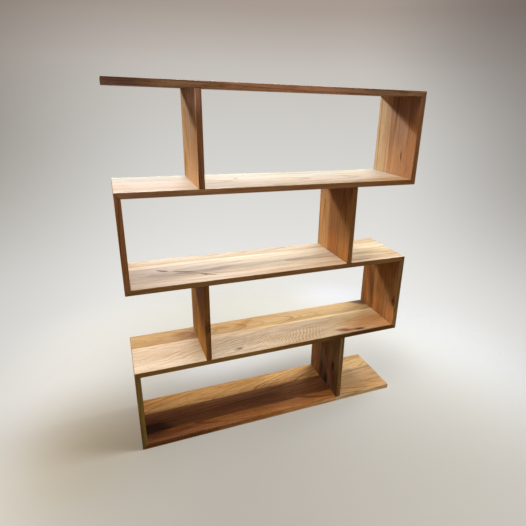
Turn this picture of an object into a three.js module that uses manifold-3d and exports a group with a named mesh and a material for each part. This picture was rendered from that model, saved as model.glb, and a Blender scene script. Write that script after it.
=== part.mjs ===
// A free-standing zigzag bookshelf in solid oak: five equal shelves, four end panels that stand
// on the left and on the right by turns, and one divider in each tier on the open side.
// Millimetres, +Z up, front towards -Y, origin at the centre of the footprint on the floor.

import * as THREE from 'three';
import { mergeVertices } from 'three/addons/utils/BufferGeometryUtils.js';
import Module from 'manifold-3d';

const wasm = await Module();
wasm.setup();

// Driving dimensions
const shelfLength = 1015;
const boardDepth = 248;
const boardThickness = 18;
const tierPitch = 295.5;
const tierCount = 4;
const dividerInset = 236;
const arrisRadius = 1.5;
const glueLine = 0.3;

// Loose tenons across each mitred corner
const tenonLength = 20;
const tenonWidth = 17;
const tenonThickness = 4;
const tenonPlaceShare = 0.33;
const tenonDepthShares = { front: 0.16, middle: 0.5, back: 0.84 };

// Dowels at the two ends of each divider
const dowelDiameter = 8;
const dowelChamfer = 1;
const dowelInShelf = 11;
const dowelInDivider = 19;
const dowelDepthShares = { front: 0.2, back: 0.8 };

// Room round a tenon or a dowel in its mortise or hole
const fitClearance = 0.3;

// Facets
const arcSegments = 2;
const dowelSides = 16;

// Materials
const oakColour = 0xc4955f;
const endPanelColour = 0xb07d4a;
const dividerColour = 0xa8733f;
const beechColour = 0xd9b98c;
const oiledRoughness = 0.55;
const rawRoughness = 0.75;

// Worked out from the sizes above
const halfLength = shelfLength / 2;
const halfDepth = boardDepth / 2;
const halfThickness = boardThickness / 2;
const panelLength = tierPitch + boardThickness;
const dividerLength = tierPitch - boardThickness;
const quarterTurn = Math.PI / 2;
const eighthTurn = Math.PI / 4;

// The end panel of a tier stands on the left (-1) in the lowest tier, then on each side by turns.
const panelSide = (tier) => (tier % 2 === 0 ? -1 : 1);

// Solids

function toSolid(geometry) {
  const bare = geometry.clone();
  bare.deleteAttribute('normal');
  bare.deleteAttribute('uv');
  const merged = mergeVertices(bare);
  return new wasm.Manifold(new wasm.Mesh({
    numProp: 3,
    vertProperties: new Float32Array(merged.attributes.position.array),
    triVerts: new Uint32Array(merged.index.array),
  }));
}

function toGeometry(solid) {
  const mesh = solid.getMesh();
  const geometry = new THREE.BufferGeometry();
  geometry.setAttribute('position', new THREE.BufferAttribute(mesh.vertProperties, mesh.numProp));
  geometry.setIndex(new THREE.BufferAttribute(mesh.triVerts, 1));
  geometry.computeVertexNormals();
  return geometry;
}

// A shape extruded evenly to both sides of its own plane.
function centredPrism(shape, length) {
  const geometry = new THREE.ExtrudeGeometry(shape, {
    depth: length,
    bevelEnabled: false,
    curveSegments: arcSegments,
  });
  return geometry.translate(0, 0, -length / 2);
}

const xAxis = new THREE.Vector3(1, 0, 0);
const yAxis = new THREE.Vector3(0, 1, 0);
const zAxis = new THREE.Vector3(0, 0, 1);
const drawnFromFront = new THREE.Matrix4().makeBasis(xAxis, zAxis, yAxis.clone().negate());
const drawnFromEnd = new THREE.Matrix4().makeBasis(yAxis, zAxis, xAxis);

// Boards. Each is drawn lying flat with its grain along X, its front towards -Y and its centre at
// the origin. It is what three outlines have in common: the side outline with its ends, the cross
// section with its four eased long edges, and the plan.

function crossSection() {
  const acrossY = halfDepth - arrisRadius;
  const acrossZ = halfThickness - arrisRadius;
  const section = new THREE.Shape();
  section.absarc(acrossY, -acrossZ, arrisRadius, -quarterTurn, 0);
  section.absarc(acrossY, acrossZ, arrisRadius, 0, quarterTurn);
  section.absarc(-acrossY, acrossZ, arrisRadius, quarterTurn, Math.PI);
  section.absarc(-acrossY, -acrossZ, arrisRadius, Math.PI, Math.PI + quarterTurn);
  section.closePath();
  return section;
}

// Adds one end to a side outline, going up at the right-hand end, or down at the left-hand end
// where the drawing is turned by half a turn. A mitre's tip is on top (1) or underneath (-1).
function traceEnd(outline, length, end, turn) {
  const way = Math.cos(turn);
  const arc = (x, z, from, to) => outline.absarc(way * x, way * z, arrisRadius, from + turn, to + turn);
  const line = (x, z) => outline.lineTo(way * x, way * z);
  const arcX = length / 2 - arrisRadius;
  const arcZ = halfThickness - arrisRadius;
  if (end.kind === 'free') {
    arc(arcX, -arcZ, -quarterTurn, 0);
    arc(arcX, arcZ, 0, quarterTurn);
  } else if (end.kind === 'butt') {
    line(length / 2 - glueLine, -halfThickness);
    line(length / 2 - glueLine, halfThickness);
  } else {
    const halfGlue = glueLine / 2;
    const innerX = length / 2 - boardThickness - halfGlue / Math.sin(eighthTurn);
    const tipAngle = eighthTurn + Math.asin(halfGlue / arrisRadius);
    if (end.tip * way > 0) {
      line(innerX, -halfThickness);
      arc(arcX, arcZ, tipAngle, quarterTurn);
    } else {
      arc(arcX, -arcZ, -quarterTurn, -tipAngle);
      line(innerX, halfThickness);
    }
  }
}

function sideOutline(length, leftEnd, rightEnd) {
  const outline = new THREE.Shape();
  outline.moveTo(0, -halfThickness);
  traceEnd(outline, length, rightEnd, 0);
  traceEnd(outline, length, leftEnd, Math.PI);
  outline.closePath();
  return outline;
}

// The plan is square-cornered at a joint and eased at a free end.
function planOutline(length, leftEnd, rightEnd) {
  const plan = new THREE.Shape();
  const arcX = length / 2 - arrisRadius;
  const arcY = halfDepth - arrisRadius;
  plan.moveTo(0, -halfDepth);
  for (const [end, side, turn] of [[rightEnd, 1, 0], [leftEnd, -1, Math.PI]]) {
    if (end.kind === 'free') {
      plan.absarc(side * arcX, -side * arcY, arrisRadius, turn - quarterTurn, turn);
      plan.absarc(side * arcX, side * arcY, arrisRadius, turn, turn + quarterTurn);
    } else {
      plan.lineTo(side * length / 2, -side * halfDepth);
      plan.lineTo(side * length / 2, side * halfDepth);
    }
  }
  plan.closePath();
  return plan;
}

function boardSolid(length, leftEnd, rightEnd) {
  const side = centredPrism(sideOutline(length, leftEnd, rightEnd), boardDepth);
  const section = centredPrism(crossSection(), length);
  const plan = centredPrism(planOutline(length, leftEnd, rightEnd), boardThickness);
  return toSolid(side.applyMatrix4(drawnFromFront))
    .intersect(toSolid(section.applyMatrix4(drawnFromEnd)))
    .intersect(toSolid(plan));
}

// Loose tenon: round narrow sides, length along Z, width along Y, thickness along X. The mortise
// is the same form with room all round.
function tenonForm(room) {
  const radius = tenonThickness / 2 + room;
  const straight = (tenonWidth - tenonThickness) / 2;
  const section = new THREE.Shape();
  section.absarc(0, straight, radius, 0, Math.PI);
  section.absarc(0, -straight, radius, Math.PI, Math.PI + Math.PI);
  section.closePath();
  return centredPrism(section, tenonLength + room + room);
}

// Dowel: a turned pin with chamfered ends along Z. It starts at the glued face, reaching one way
// into the shelf (down, below z = 0) and the other way into the divider.
function dowelForm(room) {
  const radius = dowelDiameter / 2 + room;
  const bottom = -dowelInShelf - room;
  const top = dowelInDivider + room;
  const profile = [
    new THREE.Vector2(0, bottom),
    new THREE.Vector2(radius - dowelChamfer, bottom),
    new THREE.Vector2(radius, bottom + dowelChamfer),
    new THREE.Vector2(radius, top - dowelChamfer),
    new THREE.Vector2(radius - dowelChamfer, top),
    new THREE.Vector2(0, top),
  ];
  return new THREE.LatheGeometry(profile, dowelSides).rotateX(quarterTurn);
}

// Placing

const bookshelf = new THREE.Group();

function material(colour, roughness) {
  return new THREE.MeshStandardMaterial({ color: colour, roughness, metalness: 0 });
}

function place(name, x, y, z, turnY) {
  const mesh = new THREE.Mesh();
  mesh.name = name;
  mesh.position.set(x, y, z);
  mesh.rotation.y = turnY;
  mesh.updateMatrixWorld();
  return mesh;
}

// A board is kept as a solid until every joint has cut its share out of it.
const boards = new Map();

function addBoard(name, length, leftEnd, rightEnd, x, z, turnY, colour) {
  const mesh = place(name, x, 0, z, turnY);
  mesh.material = material(colour, oiledRoughness);
  boards.set(name, { mesh, solid: boardSolid(length, leftEnd, rightEnd) });
}

// Seats a tenon or dowel and cuts the mortise or hole that it sits in out of both its boards.
function addFastener(name, form, x, y, z, turnY, boardNames) {
  const mesh = place(name, x, y, z, turnY);
  mesh.geometry = toGeometry(toSolid(form(0)));
  mesh.material = material(beechColour, rawRoughness);
  const seat = form(fitClearance);
  for (const boardName of boardNames) {
    const board = boards.get(boardName);
    const intoBoard = board.mesh.matrixWorld.clone().invert().multiply(mesh.matrixWorld);
    board.solid = board.solid.subtract(toSolid(seat.clone().applyMatrix4(intoBoard)));
  }
  bookshelf.add(mesh);
}

const shelfName = (level) => `shelf_${level + 1}`;
const panelName = (tier) => `end_panel_${tier + 1}`;
const dividerName = (tier) => `divider_${tier + 1}`;

// A shelf's end is mitred to the end panel below it (tip on top) or above it (tip underneath).
function shelfEnd(level, side) {
  if (level > 0 && panelSide(level - 1) === side) {
    return { kind: 'mitre', tip: 1 };
  }
  if (level < tierCount && panelSide(level) === side) {
    return { kind: 'mitre', tip: -1 };
  }
  return { kind: 'free' };
}

for (let level = 0; level <= tierCount; level += 1) {
  const z = level * tierPitch + halfThickness;
  addBoard(shelfName(level), shelfLength, shelfEnd(level, -1), shelfEnd(level, 1), 0, z, 0, oakColour);
}

for (let tier = 0; tier < tierCount; tier += 1) {
  const side = panelSide(tier);
  const outward = { kind: 'mitre', tip: 1 };
  const butt = { kind: 'butt' };
  const middleZ = tier * tierPitch + panelLength / 2;
  const panelX = side * (halfLength - halfThickness);
  const dividerX = -side * (halfLength - dividerInset - halfThickness);
  addBoard(panelName(tier), panelLength, outward, outward, panelX, middleZ, side * quarterTurn, endPanelColour);
  addBoard(dividerName(tier), dividerLength, butt, butt, dividerX, middleZ, side * quarterTurn, dividerColour);

  // At both ends of the tier's uprights: the level of the shelf, the height of its face towards
  // the tier, and the way (up 1, down -1) from that face into the shelf.
  const joints = [
    { end: 'bottom', level: tier, faceZ: tier * tierPitch + boardThickness, intoShelf: -1 },
    { end: 'top', level: tier + 1, faceZ: (tier + 1) * tierPitch, intoShelf: 1 },
  ];
  for (const { end, level, faceZ, intoShelf } of joints) {
    const fromInside = tenonPlaceShare * boardThickness;
    const tenonX = side * (halfLength - boardThickness + fromInside);
    const tenonZ = faceZ + intoShelf * fromInside;
    for (const [row, share] of Object.entries(tenonDepthShares)) {
      const y = share * boardDepth - halfDepth;
      addFastener(`tenon_${tier + 1}_${end}_${row}`, tenonForm, tenonX, y, tenonZ,
        -side * intoShelf * eighthTurn, [shelfName(level), panelName(tier)]);
    }
    for (const [row, share] of Object.entries(dowelDepthShares)) {
      const y = share * boardDepth - halfDepth;
      const turn = intoShelf > 0 ? Math.PI : 0;
      addFastener(`dowel_${tier + 1}_${end}_${row}`, dowelForm, dividerX, y, faceZ,
        turn, [shelfName(level), dividerName(tier)]);
    }
  }
}

for (const { mesh, solid } of boards.values()) {
  mesh.geometry = toGeometry(solid);
  bookshelf.add(mesh);
}

export default bookshelf;
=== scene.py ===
# %% [markdown]
# # A zigzag bookshelf in solid oak
# Five shelves, four end panels and four dividers, all of 18 mm oak. Each board is made of two or three wide
# staves that are glued edge to edge, so it shows strips of different wood. The lesson builds one board as a
# rule in Geometry Nodes, makes thirteen boards with it, and then grows the oak in shader groups: rings,
# pores, streaks, knots and cracks, all in a grain frame that travels with each board.

# %% Load the measured frame
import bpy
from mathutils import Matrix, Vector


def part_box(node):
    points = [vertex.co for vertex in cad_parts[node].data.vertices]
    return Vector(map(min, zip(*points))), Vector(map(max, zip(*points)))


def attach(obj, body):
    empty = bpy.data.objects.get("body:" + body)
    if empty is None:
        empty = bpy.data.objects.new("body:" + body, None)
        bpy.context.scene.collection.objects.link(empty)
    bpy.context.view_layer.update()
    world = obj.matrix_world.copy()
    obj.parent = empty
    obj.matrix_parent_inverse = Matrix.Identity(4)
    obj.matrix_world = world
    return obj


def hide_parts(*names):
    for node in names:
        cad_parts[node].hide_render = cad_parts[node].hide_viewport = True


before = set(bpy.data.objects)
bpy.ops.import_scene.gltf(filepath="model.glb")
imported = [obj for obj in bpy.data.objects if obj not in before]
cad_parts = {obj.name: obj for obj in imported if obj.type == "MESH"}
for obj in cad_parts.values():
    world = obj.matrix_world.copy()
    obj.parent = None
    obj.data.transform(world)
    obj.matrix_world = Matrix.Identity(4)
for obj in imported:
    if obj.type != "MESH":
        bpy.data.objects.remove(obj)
print("nodes in the frame:", len(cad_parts))

# %% Bring the scene up to date
import math
import bpy
from mathutils import Matrix, Vector

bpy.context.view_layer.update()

# %% [markdown]
# ## The camera
# The photograph was taken from just left of the left end, a little below the top, with a wide lens that
# looks down and to the right. Straight edges in the picture fix all of this: the place, the three turns and
# the focal length. The vanishing point sits a little right of the middle, which is what a small horizontal
# shift stands for.

# %% Place the camera
CAMERA_PLACE = Vector((-0.5105, -1.3799, 1.1604))
TURN_RIGHT = 0.40456
LOOK_DOWN = 0.36543
ROLL = 0.03364
LENS_MM = 29.27
SENSOR_MM = 36.0
SHIFT_RIGHT = -0.0517

ahead = Vector((
    math.sin(TURN_RIGHT) * math.cos(LOOK_DOWN),
    math.cos(TURN_RIGHT) * math.cos(LOOK_DOWN),
    -math.sin(LOOK_DOWN),
))
level_right = Vector((math.cos(TURN_RIGHT), -math.sin(TURN_RIGHT), 0))
level_up = level_right.cross(ahead)
camera_right = math.cos(ROLL) * level_right + math.sin(ROLL) * level_up
camera_up = -math.sin(ROLL) * level_right + math.cos(ROLL) * level_up

lens = bpy.data.cameras.new("camera")
lens.lens = LENS_MM
lens.sensor_width = SENSOR_MM
lens.shift_x = SHIFT_RIGHT
camera = bpy.data.objects.new("camera", lens)
turned = Matrix((camera_right, camera_up, -ahead)).transposed().to_4x4()
camera.matrix_world = Matrix.Translation(CAMERA_PLACE) @ turned
scene = bpy.context.scene
scene.collection.objects.link(camera)
scene.camera = camera
print("camera looks along", [round(part, 3) for part in ahead])

# %% [markdown]
# ## Helpers for node trees
# Both kinds of tree, geometry and shader, are built from the same few steps: make a node, set its inputs,
# link it. An input that is given a socket is linked, and any other value is written on the socket itself.

# %% Make a node and calculate with it
def add(tree, kind, inputs=None, **settings):
    """A node of that kind, with its settings and its inputs, linked or written."""
    made = tree.nodes.new(kind)
    for name, value in settings.items():
        setattr(made, name, value)
    for key, value in (inputs or {}).items():
        socket = made.inputs[key]
        if isinstance(value, bpy.types.NodeSocket):
            tree.links.new(value, socket)
        else:
            socket.default_value = value
    return made


def calc(tree, operation, first, second=0.0, third=0.0, clamp=False):
    """The output of a Math node."""
    inputs = {0: first, 1: second, 2: third}
    return add(tree, "ShaderNodeMath", inputs, operation=operation, use_clamp=clamp).outputs[0]


def times(tree, first, second, clamp=False):
    """One value multiplied by another."""
    return calc(tree, "MULTIPLY", first, second, clamp=clamp)


def minus(tree, first, second):
    """One value less another."""
    return calc(tree, "SUBTRACT", first, second)


def size_of(tree, value):
    """A value without its sign."""
    return calc(tree, "ABSOLUTE", value)


def vector_calc(tree, operation, first, second=(0, 0, 0)):
    """The vector output of a Vector Math node."""
    return add(tree, "ShaderNodeVectorMath", {0: first, 1: second}, operation=operation).outputs["Vector"]


def vector_value(tree, operation, first, second=(0, 0, 0)):
    """The value output of a Vector Math node, such as a length or a dot product."""
    return add(tree, "ShaderNodeVectorMath", {0: first, 1: second}, operation=operation).outputs["Value"]


def split(tree, vector):
    """The x, y and z of a vector."""
    return add(tree, "ShaderNodeSeparateXYZ", {0: vector}).outputs


def join(tree, x=0.0, y=0.0, z=0.0):
    """A vector made of x, y and z."""
    return add(tree, "ShaderNodeCombineXYZ", {0: x, 1: y, 2: z}).outputs[0]


trial = bpy.data.node_groups.new("trial", "ShaderNodeTree")
times(trial, 2.0, 3.0)
print("one sum is one node:", [node.operation for node in trial.nodes])
bpy.data.node_groups.remove(trial)


# %% Noise, colours and groups
def smooth_step(tree, value, start, end):
    """0 before start, 1 after end, and a smooth rise between them; start may be the larger."""
    inputs = {"Value": value, "From Min": start, "From Max": end, "To Min": 0.0, "To Max": 1.0}
    return add(tree, "ShaderNodeMapRange", inputs, interpolation_type="SMOOTHSTEP").outputs["Result"]


def noise(tree, place, scale=1.0, detail=2.0, roughness=0.5):
    """A three-dimensional noise between 0 and 1, most of it close to 0.5."""
    inputs = {"Vector": place, "Scale": scale, "Detail": detail, "Roughness": roughness}
    return add(tree, "ShaderNodeTexNoise", inputs).outputs["Fac"]


def stretched_noise(tree, place, stretch, detail=2.0, roughness=0.5):
    """Noise on a place multiplied by (x, y, z): the larger the number, the shorter the spots that way."""
    return noise(tree, vector_calc(tree, "MULTIPLY", place, stretch), 1.0, detail, roughness)


def blend_colour(tree, factor, first, second, mode="MIX"):
    """The result of a colour Mix node, whose inputs 0, 6 and 7 are the factor and the two colours."""
    inputs = {0: factor, 6: first, 7: second}
    return add(tree, "ShaderNodeMix", inputs, data_type="RGBA", blend_type=mode).outputs[2]


def shade(tree, colour, share, tone):
    """A colour multiplied by a tone, as far as the share from 0 to 1 says."""
    return blend_colour(tree, share, colour, blend_colour(tree, 1.0, colour, tone, "MULTIPLY"))


def new_group(name, kind, inputs, outputs):
    """An empty group with named sockets; each input is (name, type, value) and each output (name, type)."""
    tree = bpy.data.node_groups.new(name, kind)
    for direction, sockets in (("INPUT", inputs), ("OUTPUT", [(*row, None) for row in outputs])):
        for socket_name, socket_type, value in sockets:
            kind_name = "NodeSocket" + socket_type
            socket = tree.interface.new_socket(socket_name, in_out=direction, socket_type=kind_name)
            if value is not None:
                socket.default_value = value
    return tree, tree.nodes.new("NodeGroupInput").outputs, tree.nodes.new("NodeGroupOutput").inputs


def linear(red, green, blue):
    """A colour as a screen shows it, 0 to 255, turned into the linear colour that Blender mixes."""
    shares = [channel / 255 for channel in (red, green, blue)]
    return [s / 12.92 if s <= 0.04045 else ((s + 0.055) / 1.055) ** 2.4 for s in shares] + [1.0]


print("a mid oak in linear numbers:", [round(part, 3) for part in linear(200, 150, 95)])

# %% [markdown]
# ## The board blank
# A joiner planes the glued panel to 18 mm and cuts it to length, then eases the long arrises and the ends
# with a small roundover. A cube with one row of faces for each stave is the blank, and a rule moves the
# rows to the glue lines. The rule also marks the outer edges with a bevel weight, so a plain Bevel modifier
# does the easing and leaves the glue lines flat. A divider butts against the shelves, so its end arrises
# stay crisp.

# %% Build the blank as a rule
ARRIS_RADIUS = 0.0015
ARRIS_SEGMENTS = 4

BLANK_INPUTS = [
    ("Geometry", "Geometry", None),
    ("Length", "Float", 1.0),
    ("Depth", "Float", 0.25),
    ("Thickness", "Float", 0.018),
    ("Back seam", "Float", 0.04),
    ("Front seam", "Float", -0.04),
    ("Ease ends", "Float", 1.0),
]
tree, given, result = new_group("board blank", "GeometryNodeTree", BLANK_INPUTS, [("Geometry", "Geometry")])
cube = add(tree, "GeometryNodeMeshCube", {
    "Size": join(tree, given["Length"], given["Depth"], given["Thickness"]),
    "Vertices X": 2, "Vertices Y": 4, "Vertices Z": 2,
})

INNER_ROWS = 0.25       # the share of the depth, from the middle, that holds only the inner rows of points
place = add(tree, "GeometryNodeInputPosition").outputs[0]
x, y, z = split(tree, place)
inner_row = calc(tree, "LESS_THAN", size_of(tree, y), times(tree, given["Depth"], INNER_ROWS))
seam = add(tree, "ShaderNodeMix", {
    "Factor": calc(tree, "GREATER_THAN", y, 0.0), "A": given["Front seam"], "B": given["Back seam"],
}).outputs["Result"]
rows = add(tree, "GeometryNodeSetPosition", {
    "Geometry": cube.outputs["Mesh"], "Selection": inner_row, "Position": join(tree, x, seam, z),
})

SHARP_ANGLE = 1.0       # radians: the outer edges turn by more than this, the glue lines by nothing
END_PLACE = 0.49        # the share of the length, from the middle, beyond which an edge is at an end
angle = add(tree, "GeometryNodeInputMeshEdgeAngle").outputs["Unsigned Angle"]
outer_edge = calc(tree, "GREATER_THAN", angle, SHARP_ANGLE)
at_end = calc(tree, "GREATER_THAN", size_of(tree, x), times(tree, given["Length"], END_PLACE))
kept = calc(tree, "MAXIMUM", minus(tree, 1.0, at_end), given["Ease ends"])
weighted = add(tree, "GeometryNodeStoreNamedAttribute", {
    "Geometry": rows.outputs[0], "Name": "bevel_weight_edge", "Value": times(tree, outer_edge, kept),
}, data_type="FLOAT", domain="EDGE")
tree.links.new(weighted.outputs[0], result["Geometry"])
blank_tree = tree
print("blank tree:", len(tree.nodes), "nodes")

# %% [markdown]
# ## Saw, mark and place
# A mitre is one 45 degree saw cut from the outer corner to the inner one. In the tree the saw is a cube on
# its corner that is taken away from the board. Side +1 puts the outer corner on the upper face, side -1 on
# the lower face, and 0 leaves the end square. Before the board is turned to its place, the tree writes down
# what the oak needs later: `grain`, each point's place on the bench with x along the grain, the `tint` of
# the face, `pith`, where the heart of the stave's log would lie, and `figure`, how the log grew: how far
# its rings slant, how wide they are and how strongly they show. The long edges and the sawn ends each have
# a tint of their own. The ends took up more oil than the faces. The warmer tint of the long edges is partly
# oil and partly painted warm shade.

# %% Build the saw as a rule
PLACE_INPUTS = [
    ("Geometry", "Geometry", None),
    ("Length", "Float", 1.0),
    ("Thickness", "Float", 0.018),
    ("Back seam", "Float", 0.04),
    ("Front seam", "Float", -0.04),
    ("Start mitre", "Float", 0.0),
    ("End mitre", "Float", 0.0),
    ("Standing", "Float", 0.0),
    ("Centre", "Vector", (0, 0, 0)),
    ("Back tint", "Color", (1, 1, 1, 1)),
    ("Middle tint", "Color", (1, 1, 1, 1)),
    ("Front tint", "Color", (1, 1, 1, 1)),
    ("Edge tint", "Color", (1, 1, 1, 1)),
    ("End tint", "Color", (1, 1, 1, 1)),
    ("Back pith", "Vector", (0, 0, 0)),
    ("Middle pith", "Vector", (0, 0, 0)),
    ("Front pith", "Vector", (0, 0, 0)),
    ("Back figure", "Vector", (0, 0, 0)),
    ("Middle figure", "Vector", (0, 0, 0)),
    ("Front figure", "Vector", (0, 0, 0)),
    ("Finish", "Material", None),
]
tree, given, result = new_group(
    "saw, mark and place", "GeometryNodeTree", PLACE_INPUTS, [("Geometry", "Geometry")])

ALONG_AN_AXIS = 0.999   # a normal with a larger part than this belongs to a flat face, not to a roundover
place = add(tree, "GeometryNodeInputPosition").outputs[0]
normal = add(tree, "GeometryNodeInputNormal").outputs[0]
x, y, z = split(tree, place)
nx, ny, nz = [size_of(tree, part) for part in split(tree, normal)]
most = calc(tree, "MAXIMUM", nx, calc(tree, "MAXIMUM", ny, nz))
board = add(tree, "GeometryNodeSetShadeSmooth", {
    "Geometry": given["Geometry"], "Selection": calc(tree, "LESS_THAN", most, ALONG_AN_AXIS),
    "Shade Smooth": True,
}).outputs[0]

SAW_BLOCK = 0.4
SAW_REACH = SAW_BLOCK / 2 * math.sqrt(0.5)
cut_middle = minus(tree, times(tree, given["Length"], 0.5), times(tree, given["Thickness"], 0.5))
for end, side_name in ((-1, "Start mitre"), (1, "End mitre")):
    saw_x = times(tree, calc(tree, "ADD", cut_middle, SAW_REACH), end)
    saw_z = times(tree, given[side_name], -SAW_REACH)
    block = add(tree, "GeometryNodeMeshCube", {"Size": (SAW_BLOCK,) * 3})
    saw = add(tree, "GeometryNodeTransform", {
        "Geometry": block.outputs["Mesh"], "Translation": join(tree, saw_x, 0.0, saw_z),
        "Rotation": (0, math.radians(45), 0),
    })
    cut = add(tree, "GeometryNodeMeshBoolean", {
        "Mesh 1": board, "Mesh 2": saw.outputs[0],
    }, operation="DIFFERENCE", solver="EXACT")
    is_mitred = calc(tree, "GREATER_THAN", size_of(tree, given[side_name]), 0.5)
    board = add(tree, "GeometryNodeSwitch", {
        "Switch": is_mitred, "False": board, "True": cut.outputs["Mesh"],
    }, input_type="GEOMETRY").outputs[0]

print("the saw's middle is", round(SAW_REACH, 3), "m beyond the cut")

# %% Mark every point and face of it, and place it
EDGE_FACES = 0.7        # a face whose normal has a larger y than this is a long edge of the board
END_FACES = 0.8         # and one with a larger x is an end
before_back = calc(tree, "LESS_THAN", y, given["Back seam"])
stave = calc(tree, "ADD", before_back, calc(tree, "LESS_THAN", y, given["Front seam"]))


def by_stave(data_type, word):
    """The value of the stave that a face lies in, out of the three values whose names end in that word."""
    chooser = add(tree, "GeometryNodeIndexSwitch", data_type=data_type)
    chooser.index_switch_items.new()
    tree.links.new(stave, chooser.inputs["Index"])
    for number, row in enumerate(("Back", "Middle", "Front")):
        tree.links.new(given[f"{row} {word}"], chooser.inputs[str(number)])
    return chooser.outputs[0]


tint = by_stave("RGBA", "tint")
# the long edges take the edge tint, which holds painted warm shade as well as oil
tint = blend_colour(tree, calc(tree, "GREATER_THAN", ny, EDGE_FACES), tint, given["Edge tint"])
tint = blend_colour(tree, calc(tree, "GREATER_THAN", nx, END_FACES), tint, given["End tint"])
MARKS = [
    ("grain", "FLOAT_VECTOR", "POINT", place),
    ("tint", "FLOAT_COLOR", "FACE", tint),
    ("pith", "FLOAT_VECTOR", "FACE", by_stave("VECTOR", "pith")),
    ("figure", "FLOAT_VECTOR", "FACE", by_stave("VECTOR", "figure")),
]
for name, data_type, domain, value in MARKS:
    board = add(tree, "GeometryNodeStoreNamedAttribute", {
        "Geometry": board, "Name": name, "Value": value,
    }, data_type=data_type, domain=domain).outputs[0]

turn = join(tree, 0.0, times(tree, given["Standing"], math.radians(-90)))
board = add(tree, "GeometryNodeTransform", {
    "Geometry": board, "Translation": given["Centre"], "Rotation": turn,
}).outputs[0]
board = add(tree, "GeometryNodeRealizeInstances", {"Geometry": board}).outputs[0]
board = add(tree, "GeometryNodeSetMaterial", {
    "Geometry": board, "Material": given["Finish"],
}).outputs[0]
tree.links.new(board, result["Geometry"])
place_tree = tree
print("saw, mark and place tree:", len(tree.nodes), "nodes")

# %% [markdown]
# ## Oak, part one: rings
# An oak board is a slice through a stack of cones, the growth rings. Where the slice runs far from the
# heart the rings show as straight lines, and where it runs just over the heart they show as pointed arches.
# Painting lines could not give both, so the group measures the distance to the heart of the log, lets it
# wander a little, and cuts it into rings. Each ring starts with coarse early wood and ends with dense late
# wood.

# %% Group: growth rings
tree, given, result = new_group("growth rings", "ShaderNodeTree", [
    ("Grain", "Vector", (0, 0, 0)),
    ("Pith", "Vector", (0, 0, 0)),
    ("Push", "Float", 0.0),
    ("Figure", "Vector", (0.035, 0.0035, 1.0)),
    ("Wander", "Float", 0.012),
], [("Late wood", "Float"), ("Early wood", "Float"), ("Ring tone", "Float"), ("Log place", "Vector")])
EARLY_RISE = (0.0, 0.10)        # shares of a ring's width, counted outwards
EARLY_FALL = (0.55, 0.15)
LATE_RISE = (0.30, 0.95)
JITTER = 0.16                   # how much of the wander is quick
slant, ring_width, boldness = split(tree, given["Figure"])
from_pith = vector_calc(tree, "SUBTRACT", given["Grain"], given["Pith"])
radius = vector_value(tree, "LENGTH", vector_calc(tree, "MULTIPLY", from_pith, (0, 1, 1)))
slow = stretched_noise(tree, from_pith, (2.2, 9.0, 9.0))
quick = stretched_noise(tree, from_pith, (11.0, 60.0, 60.0))
sway = times(tree, minus(tree, slow, 0.5), given["Wander"])
jitter = times(tree, minus(tree, quick, 0.5), times(tree, given["Wander"], JITTER))
along = split(tree, from_pith)[0]
grown = calc(tree, "ADD", radius, times(tree, along, slant))
grown = calc(tree, "ADD", grown, calc(tree, "ADD", sway, jitter))
grown = calc(tree, "ADD", grown, given["Push"])
count = calc(tree, "DIVIDE", grown, ring_width)
share = calc(tree, "FRACT", count)
early = times(tree, smooth_step(tree, share, *EARLY_RISE), smooth_step(tree, share, *EARLY_FALL))
late = smooth_step(tree, share, *LATE_RISE)
ring_number = calc(tree, "FLOOR", count)
tone = add(tree, "ShaderNodeTexWhiteNoise", {"W": ring_number}, noise_dimensions="1D").outputs["Value"]
tone = times(tree, times(tree, tone, tone), boldness)
RING_RESULTS = {"Late wood": late, "Early wood": early, "Ring tone": tone, "Log place": from_pith}
for name, value in RING_RESULTS.items():
    tree.links.new(value, result[name])
growth_rings = tree
print("growth rings:", len(tree.nodes), "nodes")

# %% [markdown]
# ## Oak, part two: streaks, pores and flecks
# Between the rings the wood is never even. Broad streaks of darker heartwood run with the grain, with fine
# lines and short darker patches between them and cloudy changes of tone over them, and the pores of the
# early wood are open dashes a few millimetres long. Each is the same noise, stretched along the grain by
# its own amount.

# %% Group: grain marks
tree, given, result = new_group("grain marks", "ShaderNodeTree", [
    ("Log place", "Vector", (0, 0, 0)),
    ("Early wood", "Float", 0.5),
], [("Streak", "Float"), ("Line", "Float"), ("Patch", "Float"), ("Fibre", "Float"), ("Pores", "Float"),
    ("Cloud", "Float")])
BEND = 0.03                     # metres that the marks wander across the grain
bend = stretched_noise(tree, given["Log place"], (3.0, 12.0, 12.0), 1.0)
spot = vector_calc(tree, "ADD", given["Log place"], join(tree, 0.0, times(tree, bend, BEND)))
GRAIN_SIZES = {                 # stretch, detail, roughness, and the noise between which the mask rises
    "Streak": ((1.4, 26.0, 26.0), 3.0, 0.62, 0.40, 0.66),
    "Line": ((6.0, 150.0, 150.0), 3.0, 0.60, 0.48, 0.70),
    "Patch": ((24.0, 80.0, 80.0), 3.0, 0.60, 0.52, 0.72),
    "Cloud": ((4.0, 16.0, 16.0), 2.0, 0.50, 0.30, 0.70),
}
for name, (stretch, detail, roughness, start, end) in GRAIN_SIZES.items():
    grainy = stretched_noise(tree, spot, stretch, detail, roughness)
    tree.links.new(smooth_step(tree, grainy, start, end), result[name])
tree.links.new(stretched_noise(tree, spot, (14.0, 420.0, 420.0), 2.0, 0.6), result["Fibre"])
pore = stretched_noise(tree, spot, (95.0, 1500.0, 1500.0), 1.0)
tree.links.new(times(tree, smooth_step(tree, pore, 0.54, 0.68), given["Early wood"]), result["Pores"])
grain_marks = tree
print("grain marks:", len(tree.nodes), "nodes")

# %% [markdown]
# ## Oak, part three: knots and cracks
# A knot is where a branch left the trunk. Its own rings are small, round and dark, and the rings of the
# trunk flow round it. So the group gives two things: a dark mask, and a push that is added to the distance
# to the heart, which bends the trunk's rings without drawing anything. A crack is a thin dark line along
# the grain.

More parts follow.
